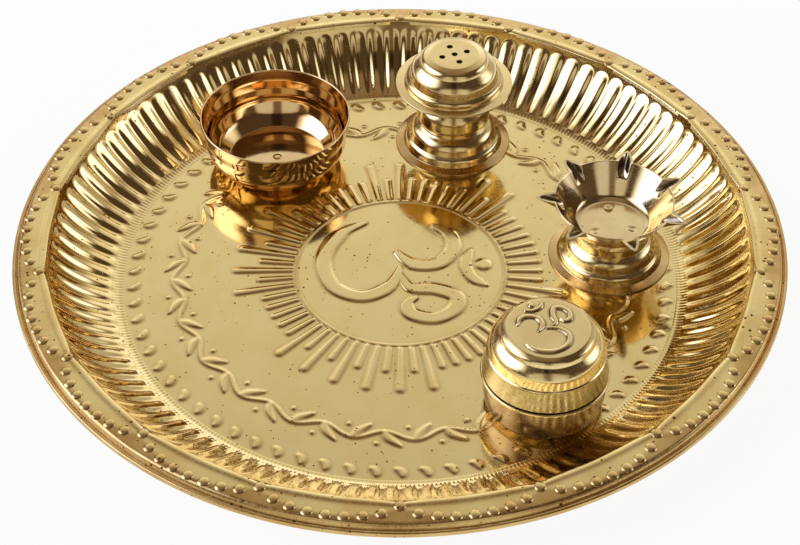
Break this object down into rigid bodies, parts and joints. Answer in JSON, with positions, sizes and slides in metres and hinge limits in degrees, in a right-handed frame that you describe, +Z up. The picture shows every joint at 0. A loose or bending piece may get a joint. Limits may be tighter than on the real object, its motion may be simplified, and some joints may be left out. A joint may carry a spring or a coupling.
{
  "type": "puja thali",
  "caption": "Round fluted brass tray for worship, carrying a small bowl, an incense stand, a wick lamp and a lidded powder box that each lift off.",
  "frame": {"origin": "centre of the tray's underside, on the surface that it stands on", "axes": "+Z up, square to the tray's floor; -Y towards the viewer of the picture, +X to the viewer's right"},
  "size_m": [0.254, 0.254, 0.0395],
  "materials": {
    "tray_brass": "pressed sheet brass, polished, with light specks of tarnish",
    "bowl_brass": "mirror polished spun brass",
    "spun_brass": "polished spun brass with fine turning lines",
    "lamp_brass": "paler, silvery worn brass"
  },
  "bodies": {
    "tray": {"thali_tray": "tray_brass"},
    "bowl": {"offering_bowl": "bowl_brass"},
    "incense_stand": {"incense_stand_foot": "spun_brass", "incense_stand_plate": "spun_brass", "incense_stand_head": "spun_brass"},
    "diya": {"diya_foot": "spun_brass", "diya_cup": "lamp_brass"},
    "kumkum_box": {"kumkum_box_body": "spun_brass"},
    "kumkum_lid": {"kumkum_box_lid": "spun_brass"}
  },
  "joints": [
    {"name": "bowl_lift", "type": "slide", "parent": "tray", "child": "bowl", "axis": [0, 0, 1], "range_m": [0, 0.06]},
    {"name": "stand_lift", "type": "slide", "parent": "tray", "child": "incense_stand", "axis": [0, 0, 1], "range_m": [0, 0.06]},
    {"name": "diya_lift", "type": "slide", "parent": "tray", "child": "diya", "axis": [0, 0, 1], "range_m": [0, 0.06]},
    {"name": "box_lift", "type": "slide", "parent": "tray", "child": "kumkum_box", "axis": [0, 0, 1], "range_m": [0, 0.06]},
    {"name": "lid_lift", "type": "slide", "parent": "kumkum_box", "child": "kumkum_lid", "axis": [0, 0, 1], "range_m": [0, 0.03]}
  ]
}
